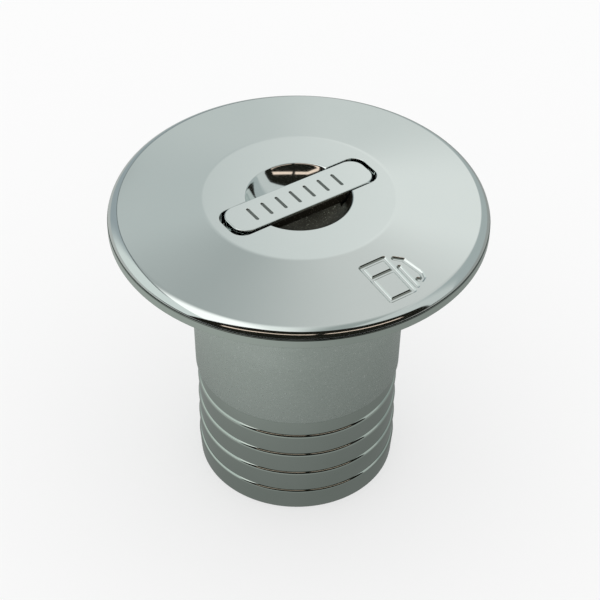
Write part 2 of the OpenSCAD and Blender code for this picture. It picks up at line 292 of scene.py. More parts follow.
def across(name, radius, half_l, edge=0.0):
    """A cylinder across the handle, centred on the hinge pin."""
    made = stack(name, edge_levels(-half_l, half_l, edge, edge) if edge else
                 [(-half_l, 0), (half_l, 0)], round_loop(radius))
    return moved(made, place(pin_x, 0, pin_z) @ Matrix.Rotation(math.pi / 2, 4, "X"))


def bake_modifiers(made):
    """Turns an object's modifiers into its own mesh."""
    bpy.context.view_layer.update()
    graph = bpy.context.evaluated_depsgraph_get()
    mesh = bpy.data.meshes.new_from_object(made.evaluated_get(graph), depsgraph=graph)
    made.modifiers.clear()
    made.data = mesh
    return made


def combine(made, tools, operation):
    """Joins tools to an object, or cuts them out of it, and removes the tools."""
    for tool in tools:
        modifier = made.modifiers.new("combine", "BOOLEAN")
        modifier.operation = operation
        modifier.object = tool
        modifier.solver = "MANIFOLD"
    bake_modifiers(made)
    for tool in tools:
        bpy.data.objects.remove(tool)
    return made


def smooth(made, sharp_deg=35):
    """Smooth shading that keeps flat faces flat and corners over sharp_deg crisp."""
    mesh = made.data
    mesh.polygons.foreach_set("use_smooth", [True] * len(mesh.polygons))
    mesh.set_sharp_from_angle(angle=math.radians(sharp_deg))
    modifier = made.modifiers.new("weighted", "WEIGHTED_NORMAL")
    modifier.keep_sharp = True
    modifier.weight = 100
    return bake_modifiers(made)


def turned_normals(made, outline, closed=False):
    """Gives the corners that lie on a turned outline the outline's own exact normals."""
    mesh = made.data
    line = np.array([tuple(p) for p in outline])
    start = line if closed else line[:-1]
    end = np.roll(line, -1, 0) if closed else line[1:]
    along = end - start
    length = np.linalg.norm(along, axis=1)
    side = np.stack([along[:, 1], -along[:, 0]], 1) / length[:, None]
    middle = (start[0] + end[0]) / 2
    probe = side_sign(line, middle, side[0])
    side = side * probe
    before, after = np.roll(side, 1, 0), np.roll(side, -1, 0)
    len_before, len_after = np.roll(length, 1), np.roll(length, -1)
    if not closed:
        before[0], after[-1] = side[0], side[-1]
    blend_limit = math.cos(math.radians(33))

    def joined(neighbour, neighbour_length):
        both = side * length[:, None] + neighbour * neighbour_length[:, None]
        both = both / np.linalg.norm(both, axis=1)[:, None]
        alike = (side * neighbour).sum(1) > blend_limit
        return np.where(alike[:, None], both, side)

    normal_a, normal_b = joined(before, len_before), joined(after, len_after)
    count = len(mesh.loops)
    corner_vertex = np.zeros(count, np.int32)
    mesh.loops.foreach_get("vertex_index", corner_vertex)
    points = np.zeros(len(mesh.vertices) * 3)
    mesh.vertices.foreach_get("co", points)
    points = points.reshape(-1, 3)[corner_vertex] / MM
    face_normals = np.repeat([p.normal[:] for p in mesh.polygons],
                             [p.loop_total for p in mesh.polygons], axis=0)
    normals = np.array([n.vector[:] for n in mesh.corner_normals])
    r = np.hypot(points[:, 0], points[:, 1])
    outward = np.where(r[:, None] > 1e-4, points[:, :2] / np.maximum(r, 1e-4)[:, None], 0)
    best = np.full(count, 1e9)
    spot = np.stack([r, points[:, 2]], 1)
    tilt = np.stack([(face_normals[:, :2] * outward).sum(1), face_normals[:, 2]], 1)
    near = math.cos(math.radians(18))
    for i in range(len(start)):
        t = np.clip(((spot - start[i]) @ along[i]) / length[i] ** 2, 0, 1)
        gap = np.linalg.norm(spot - start[i] - t[:, None] * along[i], axis=1)
        gap = np.where(tilt @ side[i] > near, gap, 1e9)
        found = (gap < 0.03) & (gap < best)
        best[found] = gap[found]
        flat = normal_a[i] * (1 - t[:, None]) + normal_b[i] * t[:, None]
        flat = flat / np.linalg.norm(flat, axis=1)[:, None]
        full = np.concatenate([outward * flat[:, :1], flat[:, 1:]], 1)
        full = full / np.maximum(np.linalg.norm(full, axis=1), 1e-9)[:, None]
        normals[found] = full[found]
    mesh.normals_split_custom_set(normals)
    return made


def side_sign(line, middle, side):
    """1 if side points out of the outline at middle, and -1 if it points in."""
    probe = middle + side * 0.01
    crossings = 0
    for a, b in zip(line, np.roll(line, -1, 0)):
        if (a[1] > probe[1]) != (b[1] > probe[1]):
            crossings += probe[0] < a[0] + (probe[1] - a[1]) * (b[0] - a[0]) / (b[1] - a[1])
    return -1 if crossings % 2 else 1


# ---- the body ----

def body_outline():
    """Neck and flange, bore included, as a closed turned outline."""
    root_r = barb_r - barb_depth
    flange_low = flange_top - flange_t
    outline = rounded([(bore_r, 1, 0), (bore_r, 0, 0.4), (root_r, 0, 0.3), (barb_r, 6, 0)], 5)[1:-1]
    turn = math.degrees(math.acos(1 - barb_depth / barb_round))
    for i in range(1, barb_count + 1):
        centre = (barb_r - barb_round, i * barb_pitch - barb_round * math.sin(math.radians(turn)))
        outline += arc(centre, barb_round, 0, turn, 8)
    corners = [
        (*outline[-1], 0), (root_r, barb_zone_h, 0.12), (neck_foot_r, barb_zone_h, 0.3),
        (neck_r, barrel_low, 4), (neck_r, flange_top - flange_t - flange_fillet, 2.2),
        (neck_r + flange_fillet, flange_low, 2.2), (flange_r - 0.3, flange_low, 0.25),
        (flange_r, flange_low + 0.3, 0.25), (flange_r, flange_top, 0.25),
        (rebate_r, flange_top, 0.2), (rebate_r, rebate_z, 0.1), (bush_r, rebate_z, 0.1),
        (bush_r, bush_low.z, 0), (bore_r, bush_low.z, 0.15), (bore_r, 1, 0)]
    return outline + rounded(corners, 5)[1:-1]


def make_body():
    outline = body_outline()
    made = lathe("body_shell", outline, closed=True)
    holes = []
    for i in range(deck_hole_count):
        turn = Matrix.Rotation(math.radians(45 + 90 * i), 4, "Z") @ place(deck_circle_r, 0, 0)
        flare = deck_sink_r - deck_hole_r
        low = flange_top - flange_t
        levels = [(low - 1, 0.3 + 1), (low + 0.3, 0), (flange_top - flare, 0),
                  (flange_top + 0.5, flare + 0.5)]
        holes.append(moved(stack("hole", levels, round_loop(deck_hole_r)), turn))
    combine(made, holes, "DIFFERENCE")
    smooth(made)
    turned_normals(made, outline, closed=True)
    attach(made, "filler_body")
    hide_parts("body_casting")
    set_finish(made, "cast_body")
    return made


# ---- the cap ----

def cone_z(r):
    """Height of the cap's conical face at a radius."""
    tangent_x, tangent_z = shoulder_start()
    return top + (tangent_z - top) * (r - flat_r) / (tangent_x - flat_r)


def shoulder_start():
    """Where the conical face meets the rounded shoulder."""
    slope = cone_slope()
    return shoulder_x + shoulder_r * math.sin(slope), shoulder_z + shoulder_r * math.cos(slope)


def cone_slope():
    return math.atan((top - shoulder_z - shoulder_r) / (shoulder_x - flat_r))


def bowl_ball():
    """Radius of the bowl's ball and the height of its centre."""
    radius = (bowl_r ** 2 + bowl_depth ** 2) / (2 * bowl_depth)
    return radius, top - bowl_depth + radius


def cap_outline():
    """The cap's turned outline, from the bowl's middle round to the ceiling's middle."""
    ball_r, ball_z = bowl_ball()
    rim_deg = math.degrees(math.asin((ball_z - top + 0.3) / ball_r))
    slope_deg = math.degrees(cone_slope())
    edge_deg = math.degrees(math.asin((edge_z + 0.15 - shoulder_z) / shoulder_r))
    bowl = arc((0, ball_z), ball_r, -90, -rim_deg, 36)
    bowl[0].x = 0
    rim = rounded([(*bowl[-2], 0), (*bowl[-1], 0), (bowl_r + 0.08, top, 0.35),
                   (flat_r, top, 10), (*shoulder_start(), 0)], 6)[2:-1]
    shoulder = arc((shoulder_x, shoulder_z), shoulder_r, 90 - slope_deg, edge_deg, 28)
    wall_r = ball_r + cap_wall
    wall_deg = math.degrees(math.asin((ball_z - ceiling_z) / wall_r))
    under = rounded([
        (*shoulder[-1], 0), (shoulder[-1].x, edge_z, 0.12), (relief_outer_r, edge_z, 0.15),
        (relief_outer_r, relief_top, 0.3), (relief_inner_r, relief_top, 0.3),
        (relief_inner_r, edge_z, 0.15), (hub_r, edge_z, 0.3), (hub_r, hub_z, 0.2),
        (skirt_r, hub_z, 0.15), (skirt_r, skirt_low, 0.2), (cavity_r, skirt_low, 0.2),
        (cavity_r, ceiling_z, 0.4), (wall_r * math.cos(math.radians(wall_deg)), ceiling_z, 0)],
        4)[1:-1]
    wall = arc((0, ball_z), wall_r, -wall_deg, -90, 24)
    wall[-1].x = 0
    return bowl + rim + shoulder + under + wall


def flared(name, low, high, loop, edge):
    """A cutter from low to high whose top flares, so that it leaves a rounded edge."""
    levels = [(low, -0.25), (low + 0.08, -0.1), (low + 0.25, 0)]
    for k in range(5):
        angle = math.pi / 2 * k / 5
        levels.append((high - edge + edge * math.sin(angle), edge * (1 - math.cos(angle))))
    levels.append((high + 0.3, edge + 0.3))
    return stack(name, levels, loop)


def trough(depth, half_w, edge):
    """Levels of a cutter with a round bottom, whose top flares to leave a rounded edge."""
    radius = (half_w ** 2 + depth ** 2) / (2 * depth)
    steepest = math.asin(half_w / radius)
    levels = []
    for k in range(7):
        angle = steepest * (1 + k) / 8
        level = radius - depth - radius * math.cos(angle)
        levels.append((level, radius * math.sin(angle) - half_w))
    for k in range(4):
        angle = math.radians(15 + 25 * k)
        levels.append((-edge * (1 - math.sin(angle)), edge * (1 - math.cos(angle))))
    levels.append((0.4, edge + 0.4))
    return levels


def stroke_cutter(a, b):
    """A round-bottomed groove between two points of the symbol, laid on the cap's cone."""
    length = (b - a).length
    turn = math.atan2(b.y - a.y, b.x - a.x)
    ends = 10
    sides = max(2, int(length / 0.8))

    def loop(grow):
        points = arc((length, 0), stroke_r + grow, -90, 90, ends)
        points += [Vector((length * (1 - k / sides), stroke_r + grow)) for k in range(1, sides)]
        points += arc((0, 0), stroke_r + grow, 90, 270, ends)
        points += [Vector((length * k / sides, -stroke_r - grow)) for k in range(1, sides)]
        return points

    levels = trough(stroke_depth, stroke_r, 0.05)
    made = stack("stroke", levels, loop)
    moved(made, place(a.x, a.y, 0) @ Matrix.Rotation(turn, 4, "Z"))
    for v in made.data.vertices:
        v.co.z += cone_z(math.hypot(v.co.x, v.co.y) / MM) * MM
    return made


def symbol_strokes():
    """The pump symbol: a tank with its window bar, a nozzle holder and a hooked hose."""
    half_w = 3.3
    half_h = 6.0
    window_y = 1.85
    lines = [
        [(-half_w, -half_h), (-half_w, half_h), (half_w, half_h), (half_w, -half_h),
         (-half_w, -half_h)],
        [(-half_w, window_y), (half_w, window_y)],
        [(4.85, 1.8), (4.85, -5.2)],
        [(5.4, 4.8), (7.1, 3.3), (8.3, -2.2), (7.9, -3.6), (6.9, -4.2), (6.4, -3.6)]]
    strokes = []
    for line in lines:
        points = [Vector((symbol_x + x, symbol_y + y)) for x, y in line]
        strokes += [stroke_cutter(a, b) for a, b in zip(points, points[1:])]
    return strokes


def at_plate_screw(i):
    """Where a screw of the backing plate stands."""
    return Matrix.Rotation(math.radians(45 + 90 * i), 4, "Z") @ place(plate_screw_circle_r, 0, 0)


def make_cap():
    outline = cap_outline()
    made = lathe("cap_shell", outline)
    roof = ceiling_z + 0.3
    inside = [stack("pocket_wall", [(pocket_floor - cap_wall, 0), (roof, 0)],
                    bar_loop(pocket_l + 2, pocket_w + 2 * cap_wall, pocket_corner_r)),
              well_block("well_wall", well_r + cap_wall, pocket_w / 2 + cap_wall, roof)]
    for i in range(plate_screw_count):
        boss = stack("boss", [(skirt_low, 0), (roof, 0)], round_loop(2.9))
        inside.append(moved(boss, at_plate_screw(i)))
    combine(made, inside, "UNION")
    cuts = [flared("pocket", pocket_floor, top, bar_loop(pocket_l, pocket_w, pocket_corner_r), 0.18),
            well_block("well", well_r, pocket_w / 2, top - 1),
            clear_bowl()]
    for side in (-1, 1):
        reach = pin_half_l + 0.15 - pocket_w / 2 + 0.1
        channel = bar_loop(2 * (pin_r + pin_fit), reach, 0.05, 1)
        levels = [(skirt_low - 1, 0), (pin_z + pin_r, 0)]
        cuts.append(moved(stack("channel", levels, channel),
                          place(pin_x, side * (pocket_w / 2 - 0.1 + reach / 2), 0)))
    seat = stack("pad_seat", [(pad_low.z, 0), (pad_low.z + 2, 0)], round_loop(pad_high.y))
    cuts.append(moved(seat, place((pad_low.x + pad_high.x) / 2, 0, 0)))
    for i in range(plate_screw_count):
        hole = stack("screw_hole", [(skirt_low - 1, 0), (skirt_low + 7, 0)],
                     round_loop(plate_screw_r, 32))
        cuts.append(moved(hole, at_plate_screw(i)))
    combine(made, cuts + symbol_strokes(), "DIFFERENCE")
    smooth(made, 30)
    turned_normals(made, outline)
    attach(made, "cap")
    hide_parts("cap_cover")
    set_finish(made, "polished_cap")
    return made


def well_block(name, radius, half_l, high):
    """The round well that the handle's hinged end turns in, cut off at a height."""
    made = across(name, radius, half_l)
    lid = stack("lid", [(high, 0), (high + 20, 0)], bar_loop(90, 90, 1, 1))
    combine(made, [lid], "DIFFERENCE")
    return made


def clear_bowl():
    """The bowl's hollow, which also clears what the pocket's walls leave in it."""
    ball_r, ball_z = bowl_ball()
    high_deg = math.degrees(math.asin((ball_z - top + 0.4) / ball_r))
    outline = arc((0, ball_z), ball_r - 0.002, -90, -high_deg, 36)
    outline[0].x = 0
    outline.append(Vector((0, outline[-1].y)))
    return lathe("bowl_space", outline)


# ---- the handle ----

def make_handle():
    made = stack("handle_bar", edge_levels(top - handle_t, top, 0.3, 0.3),
                 bar_loop(handle_l, handle_w, handle_corner_r, 12))
    combine(made, [across("knuckle", knuckle_r, handle_w / 2, 0.2)], "UNION")
    cuts = [across("pin_bore", hinge_bore_r, handle_w)]
    for i in range(-groove_each_side, groove_each_side + 1):
        loop = bar_loop(groove_w, groove_l, groove_w / 2 - 0.01, 6)
        groove = stack("groove", trough(groove_depth, groove_w / 2, 0.06), loop)
        cuts.append(moved(groove, place(i * groove_pitch + groove_x, 0, top)))
    combine(made, cuts, "DIFFERENCE")
    smooth(made, 30)
    pin = place(pin_x, 0, pin_z)
    moved(made, pin @ Matrix.Rotation(handle_tilt, 4, "Y") @ pin.inverted())
    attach(made, "handle")
    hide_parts("folding_handle")
    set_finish(made, "polished_cap")
    return made


# ---- threads, seal and the parts under the cap ----

def thread_share(angle, z, gap):
    """Share of the full thread depth, 1 on the crest and 0 at the root. angle is in turns."""
    turns = z / thread_pitch - angle
    away = abs(turns - math.floor(turns) - 0.5) * 2
    share = (root_share + gap * 2 / thread_pitch - away) / (root_share - crest_share)
    share = min(1.0, max(0.0, share))
    return share * share * (3 - 2 * share) * 0.3 + share * 0.7


def threaded_tube(name, low, high, thread_radius, plain_r, steps=128, rise=0.15):
    """A tube with a thread on one side. thread_radius(turn, z) gives the threaded side."""
    rows = math.ceil((high - low) / rise)
    levels = [low + (high - low) * i / rows for i in range(rows + 1)]
    rings = []
    points = []
    for z in levels + [high, low]:
        threaded = len(rings) <= rows
        rings.append(len(points))
        for k in range(steps):
            r = thread_radius(k / steps, z) if threaded else plain_r
            angle = 2 * math.pi * k / steps
            points.append((r * math.cos(angle), r * math.sin(angle), z))
    faces = []
    for one, two in zip(rings, rings[1:] + rings[:1]):
        for k in range(steps):
            n = (k + 1) % steps
            faces.append([one + k, one + n, two + n, two + k])
    return mesh_object(name, points, faces)


def make_sleeve():
    """The cap's male threaded sleeve, whose thread fades out at both ends."""
    low, high = sleeve_low.z, sleeve_high.z

    def radius(turn, z):
        fade = max(0.0, min(1.0, min(z - low, high - z) - 0.2))
        return male_core_r + thread_depth * thread_share(turn, z, 0) * fade

    made = threaded_tube("cap_thread", low, high, radius, male_core_r - 1.7)
    smooth(made, 50)
    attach(made, "cap")
    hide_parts("thread_sleeve")
    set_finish(made, "nylon")
    return made


def make_bush():
    """The female thread in the neck."""
    gap = female_core_r - male_core_r

    def radius(turn, z):
        return female_core_r + thread_depth * thread_share(turn, z, gap)

    made = threaded_tube("neck_thread", bush_low.z, bush_high.z, radius, bush_r)
    smooth(made, 50)
    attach(made, "filler_body")
    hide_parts("thread_bush")
    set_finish(made, "turned_steel")
    return made


def make_ring():
    """The O-ring, with the faint parting ridge that its mould leaves."""
    cord_r = (ring_high.z - ring_low.z) / 2
    centre_r, centre_z = ring_high.x - cord_r, ring_low.z + cord_r
    ridge = 0.03
    outline = []
    steps = 40
    for k in range(steps):
        angle = 2 * math.pi * k / steps
        ridge_share = max(0.0, 1 - abs(math.sin(angle)) * 12)
        reach = cord_r - ridge * (1 - ridge_share)
        outline.append(Vector((centre_r + reach * math.cos(angle), centre_z + reach * math.sin(angle))))
    made = lathe("seal_cord", outline, closed=True)
    smooth(made, 60)
    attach(made, "seal_ring")
    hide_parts("main_o_ring")
    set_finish(made, "rubber_seal")
    return made


def make_plate():
    outline = rounded([(0, plate_low.z, 0), (plate_high.x, plate_low.z, 0.3),
                       (plate_high.x, plate_high.z, 0.15), (0, plate_high.z, 0)], 4)
    made = lathe("plate_disc", outline, segments=128)
    holes = [moved(stack("hole", [(plate_low.z - 1, 0), (plate_high.z + 1, 0)],
                         round_loop(plate_screw_r + 0.1, 32)), at_plate_screw(i))
             for i in range(plate_screw_count)]
    combine(made, holes, "DIFFERENCE")
    smooth(made)
    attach(made, "cap")
    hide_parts("backing_plate")
    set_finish(made, "turned_steel")
    return made


def make_screw(i):
    """A pan-head screw with a cross recess, its head under the plate."""
    low = plate_low.z - screw_head_h
    outline = rounded([(0, low, 0), (screw_head_r, low, 1.1), (screw_head_r, plate_low.z, 0.1),
                       (plate_screw_r, plate_low.z, 0.05)], 6)
    tip_z = screw_high.z
    z = plate_low.z + 0.6
    while z < tip_z - 1.2:
        outline += [Vector((plate_screw_r, z)), Vector((plate_screw_r - 0.25, z + screw_pitch / 2))]
        z += screw_pitch
    outline += [Vector((plate_screw_r - 0.5, tip_z)), Vector((0, tip_z))]
    made = lathe(f"plate_screw_body_{i + 1}", outline, segments=48)
    slots = []
    for turn in (0, 90):
        slot = stack("slot", [(low - 1, 0.12), (low, 0.08), (low + 0.9, -0.12)],
                     bar_loop(3.4, 0.7, 0.15, 3))
        slots.append(moved(slot, Matrix.Rotation(math.radians(turn), 4, "Z")))
    combine(made, slots, "DIFFERENCE")
    moved(made, at_plate_screw(i))
    smooth(made)
    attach(made, "cap")
    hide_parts(f"plate_screw_{i + 1}")
    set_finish(made, "turned_steel")
    return made


def make_eye():
    """The eye for a retaining chain: a collar, a ring and a shank."""
    ring_r = eye_high.x - eye_wire_r
    ring_z = plate_low.z - eye_ring_drop - ring_r
    collar_low = plate_low.z - eye_collar_h
    outline = rounded([(0, collar_low, 0), (2.6, collar_low, 0.4), (2.6, plate_low.z, 0.1),
                       (1.5, plate_low.z, 0.05), (1.5, eye_high.z, 0.3), (0, eye_high.z, 0)], 5)
    made = lathe("eye_shank", outline, segments=SMALL_SEGMENTS)
    ring = lathe("eye_loop", arc((ring_r, 0), eye_wire_r, 0, 337.5, 15), closed=True,
                 segments=SMALL_SEGMENTS)
    moved(ring, place(0, 0, ring_z) @ Matrix.Rotation(math.pi / 2, 4, "X"))
    combine(made, [ring], "UNION")
    smooth(made, 50)
    made.name = "eye_and_shank"
    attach(made, "cap")
    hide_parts("chain_eye")
    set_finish(made, "turned_steel")
    return made


# ---- materials ----
# Lengths in this section are in metres, as shaders measure them.

BOWL_SHADE_SIDE = (0.15, -0.99, 0)   # painted shade and painted reflection: the finger bowl is painted dark on this side of the axis
BOWL_LIP_Z = 0.0846
BOWL_BOTTOM_Z = 0.0790
BOWL_EDGE_R = 0.0134
SYMBOL_NEAR_Y = -0.0285     # the pump symbol lies beyond this
SYMBOL_FAR_R = 0.0441       # and within this distance of the axis
ENGRAVED_MOST = 0.0008      # nothing engraved is deeper
RIM_R = 0.0471              # the flange's outer face lies beyond this
SKIN_R = 0.0450             # the cast skin ends outwards here


def node(tree, kind, inputs=None, **settings):
    """Adds a shader node. Its inputs take numbers, colours or another node's output."""
    made = tree.nodes.new(kind)
    for name, value in settings.items():
        setattr(made, name, value)
    for key, value in (inputs or {}).items():
        if isinstance(value, bpy.types.NodeSocket):
            tree.links.new(value, made.inputs[key])
        else:
            made.inputs[key].default_value = value
    return made


def calc(tree, operation, a, b=0.0, c=0.0):
    return node(tree, "ShaderNodeMath", {0: a, 1: b, 2: c}, operation=operation).outputs[0]


def step(tree, value, low, high):
    """0 below low, 1 above high, and smooth between. low may be the greater one."""
    return node(tree, "ShaderNodeMapRange",
                {"Value": value, "From Min": low, "From Max": high},
                interpolation_type="SMOOTHSTEP").outputs[0]


def spread(tree, value, low, high):
    """A 0 to 1 value stretched from low to high."""
    return node(tree, "ShaderNodeMapRange",
                {"Value": value, "To Min": low, "To Max": high}).outputs[0]


def blend(tree, share, a, b):
    """Colour a where share is 0 and colour b where it is 1."""
    return node(tree, "ShaderNodeMix", {"Factor": share, 6: a, 7: b},
                data_type="RGBA").outputs[2]


def noise(tree, vector, scale, detail=2.0, roughness=0.5):
    return node(tree, "ShaderNodeTexNoise",
                {"Vector": vector, "Scale": scale, "Detail": detail, "Roughness": roughness}
                ).outputs["Fac"]


def scaled(tree, vector, x, y, z, turn=0.0):
    return node(tree, "ShaderNodeMapping",
                {"Vector": vector, "Scale": (x, y, z), "Rotation": (0, 0, turn)}).outputs[0]


def material(name, metallic, specular=0.5):
    """A new material: its tree, its surface shader and the place on the piece, in metres."""
    made = bpy.data.materials.new(name)
    made.use_nodes = True
    tree = made.node_tree
    shader = tree.nodes["Principled BSDF"]
    shader.inputs["Metallic"].default_value = metallic
    shader.inputs["Specular IOR Level"].default_value = specular
    spot = tree.nodes.new("ShaderNodeTexCoord").outputs["Object"]
    return made, tree, shader, spot


def wire(tree, shader, colour, roughness, height, depth, under=None):
    """Joins colour, roughness and a bump of some depth in metres to the shader."""
    tree.links.new(colour, shader.inputs["Base Color"])
    tree.links.new(roughness, shader.inputs["Roughness"])
    inputs = {"Height": height, "Distance": depth, "Strength": 1.0}
    if under is not None:
        inputs["Normal"] = under
    bump = node(tree, "ShaderNodeBump", inputs).outputs[0]
    tree.links.new(bump, shader.inputs["Normal"])


def scratches(tree, spot, turn, density):
    """Thin faint lines in one direction, 0 where there are none."""
    line = noise(tree, scaled(tree, spot, 60, 2400, 60, turn), 1.0, 1.0)
    patch = noise(tree, scaled(tree, spot, 1, 1, 1, turn), 160, 1.0)
    return calc(tree, "MULTIPLY", step(tree, line, 0.74, 0.80), step(tree, patch, 0.62 - density, 0.72))


def edge_share(tree, radius):
    """0 on open faces, rising towards 1 along edges that are sharper than radius."""
    bevel = node(tree, "ShaderNodeBevel", {"Radius": radius}, samples=4).outputs[0]
    normal = tree.nodes.new("ShaderNodeNewGeometry").outputs["Normal"]
    alike = node(tree, "ShaderNodeVectorMath", {0: bevel, 1: normal},
                 operation="DOT_PRODUCT").outputs["Value"]
    return step(tree, alike, 0.995, 0.93)


def mix_value(tree, share, a, b):
    """Number a where share is 0 and number b where it is 1."""
    return node(tree, "ShaderNodeMix", {0: share, 2: a, 3: b}).outputs[0]


def axis_distance(tree, spot):
    """Distance of a place from the part's axis."""
    flat = node(tree, "ShaderNodeVectorMath", {0: spot, 1: (1, 1, 0)}, operation="MULTIPLY")
    return node(tree, "ShaderNodeVectorMath", {0: flat.outputs[0]},
                operation="LENGTH").outputs["Value"]


def product(tree, *shares):
    """All the shares multiplied."""
    made = shares[0]
    for share in shares[1:]:
        made = calc(tree, "MULTIPLY", made, share)
    return made


def dot(tree, vector, direction):
    return node(tree, "ShaderNodeVectorMath", {0: vector, 1: direction},
                operation="DOT_PRODUCT").outputs["Value"]


def sunk_share(tree, level, face, edge_depth, full_depth, last_depth):
    """1 where a level is sunk under a face by full_depth to last_depth, 0 elsewhere."""
    return product(tree, step(tree, level, face - edge_depth, face - full_depth),
                   step(tree, level, face - ENGRAVED_MOST, face - last_depth))


def groove_shade_share(tree, spot):
    """Painted shade in the handle's grip grooves: its share, 0 elsewhere."""
    tilt = math.tan(handle_tilt)
    end_x = (groove_each_side * groove_pitch + abs(groove_x) + groove_w) * MM
    end_y = (groove_l / 2 + 0.3) * MM
    level = dot(tree, spot, (tilt, 0, 1))
    crown = (top + pin_x * tilt) * MM
    inside = node(tree, "ShaderNodeVectorMath", {0: spot}, operation="ABSOLUTE").outputs[0]
    inside = node(tree, "ShaderNodeSeparateXYZ", {0: inside})
    share = product(tree, sunk_share(tree, level, crown, 0.00004, 0.00018, 0.0007),
                    step(tree, inside.outputs[0], end_x + 0.0001, end_x),
                    step(tree, inside.outputs[1], end_y + 0.0001, end_y))
    return calc(tree, "MULTIPLY", share, 0.85)


def stroke_shade_share(tree, spot):
    """Painted shade on the walls of the pump symbol's strokes that face away from the axis."""
    tangent_x, tangent_z = shoulder_start()
    fall = (top - tangent_z) / (tangent_x - flat_r)
    place_xyz = node(tree, "ShaderNodeSeparateXYZ", {0: spot})
    reach = axis_distance(tree, spot)
    level = calc(tree, "ADD", place_xyz.outputs[2], calc(tree, "MULTIPLY", reach, fall))
    cone = (top + flat_r * fall) * MM
    normal = tree.nodes.new("ShaderNodeTexCoord").outputs["Normal"]
    facing = node(tree, "ShaderNodeSeparateXYZ", {0: normal}).outputs[1]
    share = product(tree, sunk_share(tree, level, cone, 0.00006, 0.00014, 0.0006),
                    step(tree, facing, -0.20, -0.42),
                    step(tree, place_xyz.outputs[1], SYMBOL_NEAR_Y, SYMBOL_NEAR_Y - 0.0005),
                    step(tree, reach, SYMBOL_FAR_R, SYMBOL_FAR_R - 0.0003))
    return calc(tree, "MULTIPLY", share, 0.8)


def bowl_shares(tree, spot):
    """The finger bowl's share, and that of the part of it painted dark and rough: one side of the
    axis and the bottom. The dark there is painted shade and painted reflection."""
    z = node(tree, "ShaderNodeSeparateXYZ", {0: spot}).outputs[2]
    bowl = product(tree, step(tree, z, BOWL_LIP_Z, BOWL_LIP_Z - 0.0003),
                   step(tree, axis_distance(tree, spot), BOWL_EDGE_R, BOWL_EDGE_R - 0.0004))
    lean = dot(tree, spot, BOWL_SHADE_SIDE)
    # cast: painted shade and painted reflection on one side and at the bottom, and a rough finish there
    cast = calc(tree, "MAXIMUM", step(tree, lean, -0.001, 0.001),
                step(tree, z, BOWL_BOTTOM_Z + 0.0010, BOWL_BOTTOM_Z))
    return bowl, product(tree, cast, bowl)


def chrome_material():
    """Polished plating: near-mirror, with wiping marks, scratches and rubbed edges, and painted shade
    in the engraving. The finger bowl is painted dark and speckled in part, as painted shade, painted
    reflection and painted glints, and is rough there as if left as cast."""
    made, tree, shader, spot = material("polished_chrome", 1.0)
    smudge = noise(tree, spot, 55, 4.0, 0.6)
    fine = noise(tree, spot, 900, 2.0)
    marks = calc(tree, "ADD", scratches(tree, spot, 0.5, 0.1), scratches(tree, spot, -0.9, 0.06))
    rough = calc(tree, "ADD", spread(tree, smudge, 0.04, 0.09), calc(tree, "MULTIPLY", marks, 0.10))
    worn = product(tree, edge_share(tree, 0.0003), step(tree, smudge, 0.35, 0.65))
    rough = calc(tree, "ADD", rough, calc(tree, "MULTIPLY", worn, 0.10))
    base = blend(tree, smudge, (0.80, 0.845, 0.83, 1), (0.84, 0.87, 0.86, 1))
    polished = blend(tree, calc(tree, "MULTIPLY", worn, 0.5), base, (0.80, 0.77, 0.70, 1))
    # painted shade: the handle's grip grooves are darkened
    polished = blend(tree, groove_shade_share(tree, spot), polished, (0.10, 0.11, 0.10, 1))
    # painted shade: the symbol's stroke walls that face away from the axis are darkened
    polished = blend(tree, stroke_shade_share(tree, spot), polished, (0.17, 0.175, 0.14, 1))
    height = calc(tree, "ADD", calc(tree, "MULTIPLY", fine, 0.15), calc(tree, "MULTIPLY", marks, -1.0))

    # painted shade and painted reflection: the bowl is dark on one side and at its bottom, with light
    # specks as painted glints; the share named cast also makes it rough
    bowl, cast = bowl_shares(tree, spot)
    grit = noise(tree, spot, 2600, 3.0, 0.7)
    glint = step(tree, grit, 0.60, 0.68)
    dark = blend(tree, glint, (0.085, 0.078, 0.062, 1), (0.50, 0.48, 0.42, 1))
    rough = mix_value(tree, calc(tree, "MULTIPLY", bowl, 0.5), rough, 0.10)
    rough = mix_value(tree, cast, rough, 0.42)
    height = calc(tree, "ADD", height, product(tree, grit, cast, 30))
    wire(tree, shader, blend(tree, cast, polished, dark), rough, height, 0.0000015)
    return made


